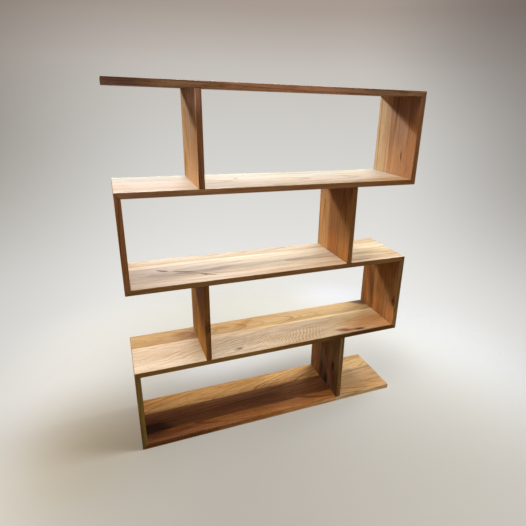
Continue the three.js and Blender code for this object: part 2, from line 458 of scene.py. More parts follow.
# %% Group: a knot
tree, given, result = new_group("knot", "ShaderNodeTree", [
    ("Grain", "Vector", (0, 0, 0)),
    ("Place", "Vector", (0, 0, 0)),
    ("Radius", "Float", 0.008),
    ("Length share", "Float", 2.0),
    ("Push so far", "Float", 0.0),
    ("Dark so far", "Float", 0.0),
    ("Flow", "Float", 1.0),
], [("Push", "Float"), ("Dark", "Float")])
FLATTEN = 0.4                   # a knot runs into the board, so depth counts for less than width
HEART = (1.1, 0.35)             # shares of the radius between which the dark heart and its halo rise
HALO = (2.6, 0.8)
HALO_DARK = 0.38
RAGGED = 1.1
BELL_FALL = -0.22               # how fast the push on the rings fades with the distance
PUSH_SIZE = 1.6                 # the push in the middle, in radii of the knot
ox, oy, oz = split(tree, vector_calc(tree, "SUBTRACT", given["Grain"], given["Place"]))
wobble = stretched_noise(tree, given["Grain"], (90, 160, 160))
flat = join(tree, calc(tree, "DIVIDE", ox, given["Length share"]), oy, times(tree, oz, FLATTEN))
shares = calc(tree, "DIVIDE", vector_value(tree, "LENGTH", flat), given["Radius"])
ragged = calc(tree, "ADD", shares, times(tree, minus(tree, wobble, 0.5), RAGGED))
halo = times(tree, smooth_step(tree, ragged, *HALO), HALO_DARK)
dark = calc(tree, "MAXIMUM", smooth_step(tree, ragged, *HEART), halo)
bell = calc(tree, "POWER", 2.718, times(tree, times(tree, shares, shares), BELL_FALL))
push = times(tree, times(tree, bell, given["Radius"]), times(tree, given["Flow"], PUSH_SIZE))
tree.links.new(calc(tree, "ADD", push, given["Push so far"]), result["Push"])
tree.links.new(calc(tree, "MAXIMUM", dark, given["Dark so far"]), result["Dark"])
knot_group = tree
print("knot:", len(tree.nodes), "nodes")

# %% Group: a crack along the grain
tree, given, result = new_group("crack", "ShaderNodeTree", [
    ("Grain", "Vector", (0, 0, 0)),
    ("Place", "Vector", (0, 0, 0)),
    ("Length", "Float", 0.03),
    ("Width", "Float", 0.001),
    ("Slant", "Float", 0.0),
    ("Dark so far", "Float", 0.0),
], [("Dark", "Float")])
CROOKED = 0.006                 # metres that a crack strays from a straight line
DEPTH = (0.012, 0.008)          # metres from its place, into the board, between which it closes
TAPER = (1.0, 0.2)              # shares of its half length between which it widens
TIP = (1.0, 0.8)                # and between which its tip darkens
ox, oy, oz = split(tree, vector_calc(tree, "SUBTRACT", given["Grain"], given["Place"]))
wobble = stretched_noise(tree, given["Grain"], (70, 40, 40), 3.0)
bent = times(tree, minus(tree, wobble, 0.5), CROOKED)
side = size_of(tree, calc(tree, "ADD", minus(tree, oy, times(tree, ox, given["Slant"])), bent))
end_share = calc(tree, "DIVIDE", size_of(tree, ox), times(tree, given["Length"], 0.5))
width = times(tree, given["Width"], smooth_step(tree, end_share, *TAPER))
line = smooth_step(tree, side, width, times(tree, width, 0.3))
line = times(tree, line, smooth_step(tree, size_of(tree, oz), *DEPTH))
line = times(tree, line, smooth_step(tree, end_share, *TIP))
tree.links.new(calc(tree, "MAXIMUM", line, given["Dark so far"]), result["Dark"])
crack_group = tree
print("crack:", len(tree.nodes), "nodes")

# %% [markdown]
# ## Oak, part four: patches and ripples
# A log is never one colour. Where the board was cut through sapwood, mineral stain or the wood round a
# branch, a long patch of it is paler, greyer or redder. Other patches are painted shade or painted light.
# Most patches have a soft, ragged border. A crisp one is a box that ends at the glue lines; it paints light
# on one bay of a stave. Curly wood is another matter: its fibres run in waves, and the waves show as short
# stripes across the grain.

# %% Group: a patch of another tone
tree, given, result = new_group("tone patch", "ShaderNodeTree", [
    ("Grain", "Vector", (0, 0, 0)),
    ("Place", "Vector", (0, 0, 0)),
    ("Spread", "Vector", (0.1, 0.02, 1.0)),
    ("Slant", "Float", 0.0),
    ("Tone", "Color", (1, 1, 1, 1)),
    ("Crisp", "Float", 0.0),
    ("Colour so far", "Color", (1, 1, 1, 1)),
], [("Color", "Color")])

RAGGED_BORDER = 1.4             # how much the noise shifts the border, in shares of the spread
BORDER = (1.3, 0.4)             # shares of the spread between which a soft patch rises


def place_share(tree, given):
    """A mask with a ragged border for the place, and the way to the place's middle, along and across."""
    ox, oy, oz = split(tree, vector_calc(tree, "SUBTRACT", given["Grain"], given["Place"]))
    spread_x, spread_y, spread_z = split(tree, given["Spread"])
    oy = minus(tree, oy, times(tree, ox, given["Slant"]))
    shares = [calc(tree, "DIVIDE", way, spread)
              for way, spread in ((ox, spread_x), (oy, spread_y), (oz, spread_z))]
    away = vector_value(tree, "LENGTH", join(tree, *shares))
    wobble = stretched_noise(tree, given["Grain"], (9, 55, 25), 3.0, 0.6)
    ragged = calc(tree, "MULTIPLY_ADD", minus(tree, wobble, 0.5), RAGGED_BORDER, away)
    return smooth_step(tree, ragged, *BORDER), ox, oy


CRISP_END = (1.0, 0.985)        # shares of the spread between which a crisp patch ends, along and across
CRISP_SIDE = (1.0, 0.96)
mask, ox, oy = place_share(tree, given)
spread_x, spread_y = split(tree, given["Spread"])[:2]
along_share = calc(tree, "DIVIDE", size_of(tree, ox), spread_x)
across_share = calc(tree, "DIVIDE", size_of(tree, oy), spread_y)
box = times(tree, smooth_step(tree, along_share, *CRISP_END), smooth_step(tree, across_share, *CRISP_SIDE))
mask = calc(tree, "MULTIPLY_ADD", minus(tree, box, mask), given["Crisp"], mask)
tree.links.new(shade(tree, given["Colour so far"], mask, given["Tone"]), result["Color"])
tone_patch = tree
print("tone patch:", len(tree.nodes), "nodes")

# %% Group: ripples across the grain
tree, given, result = new_group("ripple", "ShaderNodeTree", [
    ("Grain", "Vector", (0, 0, 0)),
    ("Place", "Vector", (0, 0, 0)),
    ("Spread", "Vector", (0.1, 0.05, 1.0)),
    ("Slant", "Float", 0.0),
    ("Wave", "Float", 0.009),
    ("Lean", "Float", 0.6),
    ("Strength", "Float", 1.0),
    ("Stripe so far", "Float", 0.0),
], [("Stripe", "Float")])
DRIFT = 1.8                     # waves that the noise shifts a stripe by
NARROWER = 1.6                  # a power that makes the dark stripes narrower than the light ones
mask, ox, oy = place_share(tree, given)
drift = stretched_noise(tree, given["Grain"], (14, 30, 10))
waves = calc(tree, "DIVIDE", calc(tree, "MULTIPLY_ADD", oy, given["Lean"], ox), given["Wave"])
waves = calc(tree, "MULTIPLY_ADD", drift, DRIFT, waves)
swell = calc(tree, "SINE", times(tree, waves, 2 * math.pi))
stripe = calc(tree, "POWER", calc(tree, "MULTIPLY_ADD", swell, 0.5, 0.5), NARROWER)
stripe = times(tree, stripe, times(tree, mask, given["Strength"]))
tree.links.new(calc(tree, "MAXIMUM", stripe, given["Stripe so far"]), result["Stripe"])
ripple_group = tree
print("ripple:", len(tree.nodes), "nodes")

# %% [markdown]
# ## Oak, part five: arrises and glue lines
# Hands and cloths polish the arrises, which makes them a little darker and smoother than the faces, with
# pale spots where they were knocked. The group finds the arris from the board's own size: on a surface the
# distance to one pair of faces is nothing, so the second smallest of the three distances is the way to the
# nearest arris. A glue line is half a millimetre wide and shows as a fine dark line where two staves meet.

# %% Group: edge wear and glue lines
tree, given, result = new_group("arris wear", "ShaderNodeTree", [
    ("Grain", "Vector", (0, 0, 0)),
    ("Half size", "Vector", (0.5, 0.12, 0.009)),
    ("Seams", "Vector", (0.04, -0.04, 0)),
    ("Reach", "Float", 0.004),
], [("Worn", "Float"), ("Knocked", "Float"), ("Glue", "Float")])
GLUE_LINE = (0.0006, 0.0002)    # metres from the seam between which the dark line fades in
inside = vector_calc(tree, "SUBTRACT", given["Half size"], vector_calc(tree, "ABSOLUTE", given["Grain"]))
a, b, c = split(tree, inside)
lower_of_higher = calc(tree, "MINIMUM", calc(tree, "MAXIMUM", a, b), c)
second = calc(tree, "MAXIMUM", calc(tree, "MINIMUM", a, b), lower_of_higher)
patchy = stretched_noise(tree, given["Grain"], (26, 60, 60))
nicks = stretched_noise(tree, given["Grain"], (140, 300, 300), 1.0)
worn = smooth_step(tree, second, given["Reach"], 0.0)
tree.links.new(times(tree, worn, patchy), result["Worn"])
tree.links.new(times(tree, worn, smooth_step(tree, nicks, 0.60, 0.70)), result["Knocked"])
across = split(tree, given["Grain"])[1]
to_back, to_front = [size_of(tree, minus(tree, across, seam)) for seam in split(tree, given["Seams"])[:2]]
to_seam = calc(tree, "MINIMUM", to_back, to_front)
tree.links.new(smooth_step(tree, to_seam, *GLUE_LINE), result["Glue"])
arris_wear = tree
print("arris wear:", len(tree.nodes), "nodes")

# %% [markdown]
# ## Oak, part six: the colour
# The parts are mixed in the order that they lie in the wood. The tint of the stave comes first, then the
# darker late wood, the streaks, the open pores, the knots and cracks, and last the worn arris. Oil makes
# the wood warmer and darker where it soaks in, so every darker tone is also a redder one.

# %% Group: oiled oak colour
tree, given, result = new_group("oiled oak colour", "ShaderNodeTree", [
    ("Tint", "Color", linear(205, 160, 110)),
    ("Late wood", "Float", 0.0),
    ("Ring tone", "Float", 0.5),
    ("Streak", "Float", 0.0),
    ("Line", "Float", 0.0),
    ("Patch", "Float", 0.0),
    ("Stripe", "Float", 0.0),
    ("Fibre", "Float", 0.5),
    ("Pores", "Float", 0.0),
    ("Cloud", "Float", 0.5),
    ("Dark", "Float", 0.0),
    ("Worn", "Float", 0.0),
    ("Knocked", "Float", 0.0),
    ("Glue", "Float", 0.0),
    ("Figure", "Float", 1.0),
], [("Color", "Color")])
PLAIN_MASKS = ("Cloud", "Streak", "Line", "Patch", "Stripe", "Fibre", "Pores", "Glue")
masks = {name: given[name] for name in PLAIN_MASKS}
masks["Late wood"] = times(tree, given["Late wood"], given["Ring tone"])
COLOUR_STEPS = (                # a mask, how much of it counts, and the tone that it multiplies by
    ("Cloud", 0.25, (0.84, 0.76, 0.68, 1)),
    ("Streak", 0.55, (0.72, 0.58, 0.44, 1)),
    ("Line", 0.50, (0.66, 0.50, 0.36, 1)),
    ("Patch", 0.38, (0.70, 0.52, 0.36, 1)),
    ("Stripe", 0.90, (0.66, 0.50, 0.38, 1)),
    ("Late wood", 0.95, (0.56, 0.40, 0.27, 1)),
    ("Fibre", 0.22, (0.80, 0.70, 0.60, 1)),
    ("Pores", 0.60, (0.45, 0.33, 0.24, 1)),
    ("Glue", 0.70, (0.50, 0.36, 0.26, 1)),
)
WORN_TONE = (0.68, 0.52, 0.40, 1)
KNOCKED_COLOUR = linear(226, 190, 146)
KNOT_COLOUR = linear(58, 30, 20)
colour = given["Tint"]
for name, amount, tone in COLOUR_STEPS:
    share = times(tree, times(tree, masks[name], amount), given["Figure"], clamp=True)
    colour = shade(tree, colour, share, tone)
colour = shade(tree, colour, times(tree, given["Worn"], 0.5), WORN_TONE)
colour = blend_colour(tree, times(tree, given["Knocked"], 0.5), colour, KNOCKED_COLOUR)
colour = blend_colour(tree, given["Dark"], colour, KNOT_COLOUR)
tree.links.new(colour, result["Color"])
oak_colour = tree
print("oiled oak colour:", len(tree.nodes), "nodes")

# %% [markdown]
# ## The oak material
# Two functions place the groups in a material, so that all thirteen boards share them and each board keeps
# its own marks. Marks of a kind are chained: each one takes the push, the dark, the stripe or the colour of
# those before it. The patches on an upright board lie on its left face only, which is the one that the
# photograph shows. The oil leaves a satin surface, so the roughness stays near a half, and the open pores
# and cracks are rougher and lower.

# %% Place the marks of one board
def group_node(tree, group, inputs):
    """The outputs of a group that is placed in a material with its inputs set."""
    return add(tree, "ShaderNodeGroup", inputs, node_tree=group).outputs


LEFT_FACE = 0.009               # metres from the middle of a board to its left face
PATCH_DEPTH = 0.016             # metres below that face at which a patch has ended
THROUGH = 1.0                   # a spread that goes through the whole board


def place_marks(tree, name, grain, tint):
    """The marks of one board, chained: the tint after its patches, the stripes, the push and the dark."""
    face, sunk = (0.0, THROUGH) if name.startswith("shelf") else (LEFT_FACE, PATCH_DEPTH)
    for place, spread, slant, tone, *crisp in TONES.get(name, ()):
        tint = group_node(tree, tone_patch, {
            "Grain": grain, "Place": (*place, face), "Spread": (*spread, sunk), "Slant": slant,
            "Tone": (*tone, 1), "Crisp": crisp[0] if crisp else 0.0, "Colour so far": tint,
        })["Color"]
    stripe = 0.0
    for place, spread, slant, wave, lean, strength in RIPPLES.get(name, ()):
        stripe = group_node(tree, ripple_group, {
            "Grain": grain, "Place": (*place, 0), "Spread": (*spread, THROUGH), "Slant": slant,
            "Wave": wave, "Lean": lean, "Strength": strength, "Stripe so far": stripe,
        })["Stripe"]
    push, dark = 0.0, 0.0
    for place, radius, length_share, *flow in KNOTS.get(name, ()):
        push, dark = group_node(tree, knot_group, {
            "Grain": grain, "Place": place, "Radius": radius, "Length share": length_share,
            "Push so far": push, "Dark so far": dark, "Flow": flow[0] if flow else 1.0,
        })
    for place, length, width, slant in CRACKS.get(name, ()):
        dark = group_node(tree, crack_group, {
            "Grain": grain, "Place": place, "Length": length, "Width": width,
            "Slant": slant, "Dark so far": dark,
        })["Dark"]
    return tint, stripe, push, dark


print("a patch on an upright board reaches", PATCH_DEPTH, "m below its left face")

# %% Make oiled oak for one board
OIL_SHEEN = 0.15                # specular level
SATIN = 0.46                    # roughness, before what the marks add to it
BUMP_HEIGHT = 0.0003            # metres


def oiled_oak(name, half_size, seams, figure=1.0):
    """A material for one board, with the marks that the tables below list under the same name."""
    material = bpy.data.materials.new(f"oak_{name}")
    material.use_nodes = True
    tree = material.node_tree
    shader = tree.nodes["Principled BSDF"]
    grain, pith, growth = [
        add(tree, "ShaderNodeAttribute", attribute_name=word).outputs["Vector"]
        for word in ("grain", "pith", "figure")]
    tint = add(tree, "ShaderNodeAttribute", attribute_name="tint").outputs["Color"]
    tint, stripe, push, dark = place_marks(tree, name, grain, tint)
    rings = group_node(tree, growth_rings, {"Grain": grain, "Pith": pith, "Push": push, "Figure": growth})
    marks = group_node(tree, grain_marks, {
        "Log place": rings["Log place"], "Early wood": rings["Early wood"],
    })
    wear = group_node(tree, arris_wear, {"Grain": grain, "Half size": half_size, "Seams": seams})
    colour = group_node(tree, oak_colour, {
        "Tint": tint, "Stripe": stripe, "Dark": dark, "Figure": figure,
        **{word: rings[word] for word in ("Late wood", "Ring tone")},
        **{word: marks[word] for word in ("Streak", "Line", "Patch", "Fibre", "Pores", "Cloud")},
        **{word: wear[word] for word in ("Worn", "Knocked", "Glue")},
    })
    tree.links.new(colour["Color"], shader.inputs["Base Color"])
    shader.inputs["Specular IOR Level"].default_value = OIL_SHEEN
    rough = calc(tree, "MULTIPLY_ADD", marks["Cloud"], 0.10, SATIN)
    rough = calc(tree, "MULTIPLY_ADD", marks["Pores"], 0.25, rough)
    rough = calc(tree, "MULTIPLY_ADD", wear["Worn"], -0.12, rough)
    tree.links.new(rough, shader.inputs["Roughness"])
    height = calc(tree, "MULTIPLY_ADD", marks["Pores"], -1.0, times(tree, marks["Fibre"], 0.35))
    height = calc(tree, "MULTIPLY_ADD", rings["Late wood"], 0.25, height)
    height = calc(tree, "MULTIPLY_ADD", dark, -1.2, height)
    bump = add(tree, "ShaderNodeBump", {"Height": height, "Strength": 0.5, "Distance": BUMP_HEIGHT})
    tree.links.new(bump.outputs["Normal"], shader.inputs["Normal"])
    return material


BOARD_KINDS = ("shelf", "end", "divider")
board_count = sum(1 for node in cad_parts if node.split("_")[0] in BOARD_KINDS)
print("boards that will get oak:", board_count)

# %% [markdown]
# ## The boards of this bookshelf
# Every size comes from the frame, so a board can't miss its place. What the frame can't say is which log
# each stave came from. The tables below give the tints of the two or three staves from back to front as
# they look in even light, the tint of the long edges, and the shares of the depth at which the staves meet.
# The heart of each log is drawn from a fixed seed and lies below its stave, less deep for the back and the
# front one than for the middle one. Where the photograph shows arches or straight lines clearly, LOGS gives
# the heart and the growth instead. FIGURE says how strongly a board shows its grain, where that isn't 1.

# %% The staves of each board, back to front
STAVES = {
    "shelf_5": ((224, 182, 130), (216, 172, 128), (200, 150, 105)),
    "shelf_4": ((199, 196, 179), (231, 220, 201), (223, 211, 188)),
    "shelf_3": ((202, 186, 161), (227, 212, 187), (232, 214, 193)),
    "shelf_2": ((187, 152, 99), (221, 199, 165)),
    # shelf_1's dark middle stave is partly painted shade under the shelf above; crisp patches paint light on
    # it again in the right bay
    "shelf_1": ((220, 170, 106), (150, 102, 67), (195, 132, 70)),
    "end_panel_4": ((210, 179, 139), (178, 137, 103), (189, 143, 103)),
    "end_panel_3": ((208, 158, 104), (190, 138, 90), (180, 124, 78)),
    "end_panel_2": ((159, 110, 64), (175, 128, 80), (185, 142, 100)),
    "end_panel_1": ((196, 146, 92), (178, 124, 78), (164, 112, 66)),
    "divider_4": ((207, 162, 107), (219, 176, 126), (223, 178, 130)),
    "divider_3": ((205, 157, 103), (167, 117, 71), (165, 116, 66)),
    "divider_2": ((179, 127, 62), (193, 132, 70), (178, 116, 37)),
    "divider_1": ((172, 127, 90), (119, 92, 80), (149, 129, 114)),
}
# tints of the long edges: partly more oil, partly painted warm shade
EDGES = {
    "shelf_5": (254, 209, 174), "shelf_4": (249, 196, 153), "shelf_3": (205, 156, 103),
    "shelf_2": (187, 148, 85), "shelf_1": (245, 192, 129), "end_panel_4": (240, 179, 125),
    "end_panel_3": (230, 169, 120), "end_panel_2": (212, 184, 134), "end_panel_1": (191, 174, 110),
    "divider_4": (209, 146, 108), "divider_3": (214, 159, 107), "divider_2": (185, 139, 91),
    "divider_1": (182, 163, 121),
}
SEAM_SHARES = {
    "shelf_5": (0.34, 0.72), "shelf_4": (0.34, 0.76), "shelf_3": (0.22, 0.80), "shelf_2": (0.36, 0.70),
    "shelf_1": (0.36, 0.78), "end": (0.36, 0.70), "divider": (0.35, 0.64),
}
print("staves:", sum(map(len, STAVES.values())))

# %% Logs that aren't left to chance: heart, then slant, ring width and boldness
LOGS = {
    ("shelf_2", 0): ((0.85, 0.070, -0.050), (0.13, 0.0050, 1.2)),
    ("shelf_2", 1): ((1.3, -0.16, -0.05), (-0.24, 0.0085, 0.55)),
    ("shelf_1", 0): ((-3.0, 0.02, -0.09), (-0.15, 0.0050, 1.2)),
    ("shelf_1", 1): ((2.0, 0.06, -0.12), (0.04, 0.0040, 1.0)),
    ("end_panel_4", 1): ((2.0, 0.14, -0.12), (0.01, 0.0036, 0.9)),
    ("end_panel_4", 2): ((-4.0, 0.12, -0.15), (-0.01, 0.0040, 0.9)),
    ("end_panel_2", 2): ((1.0, 0.10, -0.12), (0.03, 0.0036, 1.1)),
}
FIGURE = {
    "shelf_5": 1.6, "shelf_4": 0.75, "shelf_3": 0.62, "shelf_2": 0.9, "shelf_1": 1.25, "end_panel_4": 0.85,
    "divider_2": 1.2, "divider_1": 1.3, "end_panel_2": 1.2,
}
print("logs by hand:", len(LOGS), "boards with a figure of their own:", len(FIGURE))

# %% [markdown]
# ## Stain, sapwood, painted shade and painted light
# The patches of another tone are listed board by board. Each has its place on the bench in metres from the
# board's middle, along the grain and then across it, then its reach both ways, its slant, and the tone that
# the wood is multiplied by. Plus is to the right on a shelf, up on an upright board, and to the back across
# the grain. A tone below 1 is heartwood, stain, the dark wood round a knot or painted shade, one above 1 is
# sapwood or painted light, and three unequal numbers make the patch redder, yellower or greyer. A last 1
# makes it crisp. Patches with an across of -0.124 are on the front edge. The comment over each board names
# its patches of painted shade and painted light.

# %% Patches on the shelves
TONES = {
    # browner along the front, darker at the left end, paler at the back right
    "shelf_4": (
        ((0.30, -0.112), (0.62, 0.050), 0.02, (0.88, 0.78, 0.64)),
        ((0.44, -0.095), (0.14, 0.040), 0.0, (0.97, 0.84, 0.66)),
        ((0.28, -0.100), (0.27, 0.022), 0.0, (0.90, 0.82, 0.74)),
        ((-0.15, -0.105), (0.18, 0.018), 0.0, (0.92, 0.86, 0.80)),
        ((-0.42, -0.010), (0.16, 0.160), 0.0, (0.83, 0.76, 0.78)),
        ((-0.40, 0.085), (0.18, 0.050), 0.0, (0.90, 0.92, 0.94)),
        ((0.44, 0.090), (0.12, 0.050), 0.0, (1.16, 1.10, 1.02)),
    ),
    # grey round the knots, partly stain and partly painted shade of the left end panel, grey stain in a line
    # to the right of them, browner front and right end
    "shelf_3": (
        ((-0.34, 0.000), (0.26, 0.075), 0.0, (0.80, 0.77, 0.81)),
        ((-0.303, -0.037), (0.045, 0.014), -0.3, (0.66, 0.62, 0.62)),
        ((-0.225, -0.030), (0.070, 0.016), 0.1, (0.76, 0.72, 0.72)),
        ((-0.05, -0.022), (0.33, 0.016), 0.0, (0.82, 0.81, 0.80)),
        ((0.15, -0.100), (0.26, 0.020), 0.0, (0.88, 0.77, 0.62)),
        ((0.40, -0.026), (0.12, 0.011), 0.1, (0.80, 0.74, 0.64)),
        ((0.42, -0.092), (0.14, 0.030), 0.0, (0.78, 0.72, 0.66)),
        ((0.42, 0.000), (0.20, 0.200), 0.0, (0.86, 0.82, 0.72)),
        ((0.46, -0.124), (0.12, 0.006), 0.0, (1.30, 1.40, 1.70)),
    ),
    # pale front left, red-brown right end, dark stain round both knots, brown spots at the back, and painted
    # shadow in the back right corner
    "shelf_2": (
        ((-0.42, -0.040), (0.12, 0.100), 0.0, (1.06, 1.04, 1.10)),
        ((0.26, 0.080), (0.30, 0.060), 0.0, (1.10, 1.20, 1.45)),
        ((0.12, -0.006), (0.17, 0.038), 0.0, (0.84, 0.80, 0.78)),
        ((0.40, -0.030), (0.17, 0.060), 0.0, (0.90, 0.79, 0.60)),
        ((0.470, -0.080), (0.19, 0.075), 0.0, (0.88, 0.63, 0.42)),
        ((0.31, -0.124), (0.17, 0.006), 0.0, (0.50, 0.48, 0.50)),
        ((-0.08, -0.100), (0.12, 0.030), 0.0, (1.12, 1.14, 1.16)),
        ((-0.22, -0.095), (0.34, 0.034), 0.0, (1.10, 1.18, 1.30)),
        ((0.312, -0.105), (0.074, 0.017), 0.0, (0.74, 0.50, 0.40)),
        ((0.280, -0.096), (0.036, 0.011), -0.15, (0.50, 0.34, 0.26)),
        ((0.349, -0.110), (0.032, 0.010), -0.1, (0.36, 0.22, 0.17)),
        ((-0.147, -0.089), (0.020, 0.010), 0.1, (0.58, 0.54, 0.52)),
        ((-0.31, 0.068), (0.055, 0.026), -0.2, (0.78, 0.60, 0.46)),
        ((-0.17, 0.078), (0.030, 0.016), -0.3, (0.82, 0.68, 0.50)),
        ((-0.08, 0.082), (0.050, 0.018), 0.6, (0.84, 0.68, 0.50)),
        ((0.20, 0.034), (0.36, 0.013), 0.0, (1.28, 1.32, 1.16)),
        # painted shadow in the back right corner
        ((0.468, 0.104), (0.050, 0.028), -0.5, (0.30, 0.24, 0.24)),
    ),
    # painted shade: nearly black at the left end, darker along the left of the middle and the front, dark at
    # the left of the edge; painted light: paler from the middle on, palest in the right bay, which starts
    # crisply, pale at the right of the edge; a pale line along the back seam
    "shelf_1": (
        ((-0.460, -0.050), (0.060, 0.042), 0.0, (0.28, 0.24, 0.30)),
        ((-0.30, -0.020), (0.20, 0.050), 0.0, (0.78, 0.68, 0.60)),
        ((0.15, -0.108), (0.30, 0.012), 0.0, (1.20, 1.15, 1.00)),
        ((0.14, -0.010), (0.14, 0.060), 0.1, (1.76, 1.90, 1.95)),
        ((0.14, 0.085), (0.14, 0.060), 0.0, (1.28, 1.36, 1.48)),
        ((0.42, 0.085), (0.14, 0.060), 0.0, (0.92, 1.08, 1.33)),
        ((0.43, 0.034), (0.13, 0.007), 0.0, (1.25, 1.36, 1.60)),
        ((0.3805, -0.0174), (0.1268, 0.0521), 0.0, (1.92, 2.74, 3.05), 1.0),
        ((-0.42, -0.095), (0.10, 0.020), 0.0, (0.62, 0.50, 0.44)),
        ((0.13, -0.104), (0.15, 0.040), 0.0, (1.28, 1.42, 2.00)),
        ((0.3805, -0.0982), (0.1268, 0.0286), 0.0, (1.10, 1.53, 2.45), 1.0),
        ((-0.42, -0.124), (0.26, 0.005), 0.0, (0.40, 0.33, 0.30)),
        ((0.34, -0.124), (0.16, 0.006), 0.0, (1.48, 1.80, 2.40)),
    ),
    # only its edge: dark at the left, pale and redder in the middle, pale at the right
    "shelf_5": (
        ((-0.48, -0.124), (0.09, 0.008), 0.0, (0.48, 0.44, 0.56)),
        ((0.02, -0.124), (0.22, 0.008), 0.0, (1.50, 1.27, 1.32)),
        ((0.48, -0.124), (0.05, 0.008), 0.0, (1.25, 1.35, 1.25)),
    ),
}
print("patches on the shelves:", sum(map(len, TONES.values())))

# %% Patches on the upright boards
TONES.update({
    # painted bounce light makes a warm foot, painted shade a bluer head; a browner front stave and two dark
    # lines
    "end_panel_4": (
        ((-0.04, -0.100), (0.12, 0.045), 0.0, (0.90, 0.80, 0.68)),
        ((-0.10, -0.005), (0.08, 0.060), 0.0, (1.24, 1.17, 1.02)),
        ((0.125, -0.060), (0.070, 0.150), 0.2, (0.88, 0.90, 1.20)),
        ((0.0, 0.056), (0.25, 0.026), 0.0, (0.90, 0.84, 0.80)),
        ((-0.04, 0.016), (0.20, 0.022), 0.0, (1.10, 1.12, 1.12)),
        ((0.08, 0.006), (0.10, 0.006), -0.06, (0.62, 0.52, 0.44)),
        ((0.06, -0.075), (0.09, 0.005), 0.03, (0.66, 0.56, 0.50)),
    ),
    # a slanting light streak with a dark one beside it, a warm foot of painted bounce light, dark red wood
    # round the knot
    "end_panel_2": (
        ((-0.055, 0.082), (0.10, 0.009), 0.24, (1.50, 1.30, 1.02)),
        ((-0.03, 0.052), (0.11, 0.020), 0.20, (0.66, 0.55, 0.46)),
        ((-0.10, 0.000), (0.06, 0.030), 0.0, (1.24, 1.14, 1.00)),
        ((-0.10, -0.095), (0.06, 0.030), 0.0, (1.30, 1.16, 1.00)),
        ((-0.04, -0.112), (0.028, 0.010), 0.0, (0.55, 0.36, 0.40)),
    ),
    # the foot of its edge is darker
    "end_panel_1": (((-0.10, -0.124), (0.09, 0.020), 0.0, (0.62, 0.56, 0.62)),),
    # a much paler, bluer head, painted cool light in its shade, and a browner front, painted shadow
    "divider_4": (
        ((0.13, -0.08), (0.06, 0.16), 0.0, (1.70, 2.02, 2.90)),
        ((-0.03, -0.09), (0.13, 0.050), 0.0, (0.82, 0.73, 0.64)),
    ),
    # painted bounce light makes a warm foot, painted shade a darker head at the back
    "divider_3": (
        ((-0.09, 0.0), (0.06, 0.035), 0.0, (1.22, 1.06, 0.90)),
        ((0.14, 0.060), (0.06, 0.10), 0.0, (0.84, 0.80, 0.78)),
        ((-0.10, -0.09), (0.05, 0.035), 0.0, (1.24, 1.16, 1.04)),
    ),
    # painted bounce light makes a yellow-green foot, painted warm shade a warm head
    "divider_2": (
        ((-0.10, -0.04), (0.06, 0.12), 0.3, (1.08, 1.22, 1.00)),
        ((0.11, -0.04), (0.12, 0.26), 0.0, (1.12, 1.02, 0.80)),
    ),
    # a pale line and a red one, pale above and dark below, nearly black round the knots
    "divider_1": (
        ((0.0, -0.030), (0.14, 0.008), 0.0, (1.5, 1.3, 1.2)),
        ((-0.04, -0.060), (0.14, 0.016), 0.1, (1.2, 0.9, 0.8)),
        ((0.06, -0.050), (0.12, 0.090), 0.0, (1.26, 1.32, 1.40)),
        ((-0.11, -0.050), (0.09, 0.100), 0.0, (0.66, 0.58, 0.54)),
        ((-0.083, 0.018), (0.034, 0.008), 0.0, (0.22, 0.18, 0.20)),
        ((-0.017, -0.077), (0.024, 0.009), 0.0, (0.34, 0.24, 0.24)),
        ((-0.116, -0.025), (0.030, 0.016), 0.0, (0.34, 0.30, 0.34)),
        ((0.03, 0.100), (0.09, 0.040), 0.0, (0.68, 0.66, 0.68)),
    ),
})
# four uprights also get painted bounce light at the foot and painted shade at the head, under the shelf
# above
PAINTED_BOUNCE_FOOT = ((-0.120, -0.040), (0.065, 0.130), 0.0, (1.18, 1.15, 1.08))
PAINTED_SHADE_HEAD = ((0.125, -0.040), (0.070, 0.130), 0.2, (0.84, 0.81, 0.84))
for upright in ("end_panel_2", "divider_1", "divider_2", "divider_3"):
    TONES[upright] = (*TONES[upright], PAINTED_BOUNCE_FOOT, PAINTED_SHADE_HEAD)
print("patches on all boards:", sum(map(len, TONES.values())))

# %% [markdown]
# ## Ripples, knots and cracks
# RIPPLES lists the stripes of curly wood: place, reach and slant as before, then the length of a wave, how
# far the stripes lean from square to the grain, and their strength. A knot has its place with its height in
# the board, its radius, how many times longer than wide it is and, as a last number, how far it pushes the
# rings aside. A crack has its place, its length, its width and its slant.

# %% Ripples, knots and cracks of each board
RIPPLES = {
    "shelf_3": (((-0.20, 0.040), (0.06, 0.030), 0.0, 0.0110, 0.0, 0.5),),
    "shelf_2": (
        ((0.110, -0.072), (0.10, 0.050), 0.1, 0.0150, -0.5, 1.0),
        ((0.025, -0.072), (0.08, 0.055), 0.2, 0.0140, -1.0, 1.0),
        ((-0.05, -0.060), (0.09, 0.055), 0.0, 0.0240, -1.8, 0.8),
        ((-0.17, -0.050), (0.13, 0.060), 0.0, 0.0700, -4.2, 0.6),
        ((-0.33, -0.062), (0.09, 0.040), 0.0, 0.0600, -3.0, 0.6),
        ((-0.44, -0.045), (0.08, 0.050), 0.0, 0.0500, -3.4, 0.3),
    ),
    "shelf_1": (
        ((-0.31, -0.095), (0.08, 0.030), 0.0, 0.0110, 0.8, 1.0),
        ((-0.10, 0.080), (0.34, 0.060), 0.0, 0.0600, -3.2, 0.30),
    ),
}
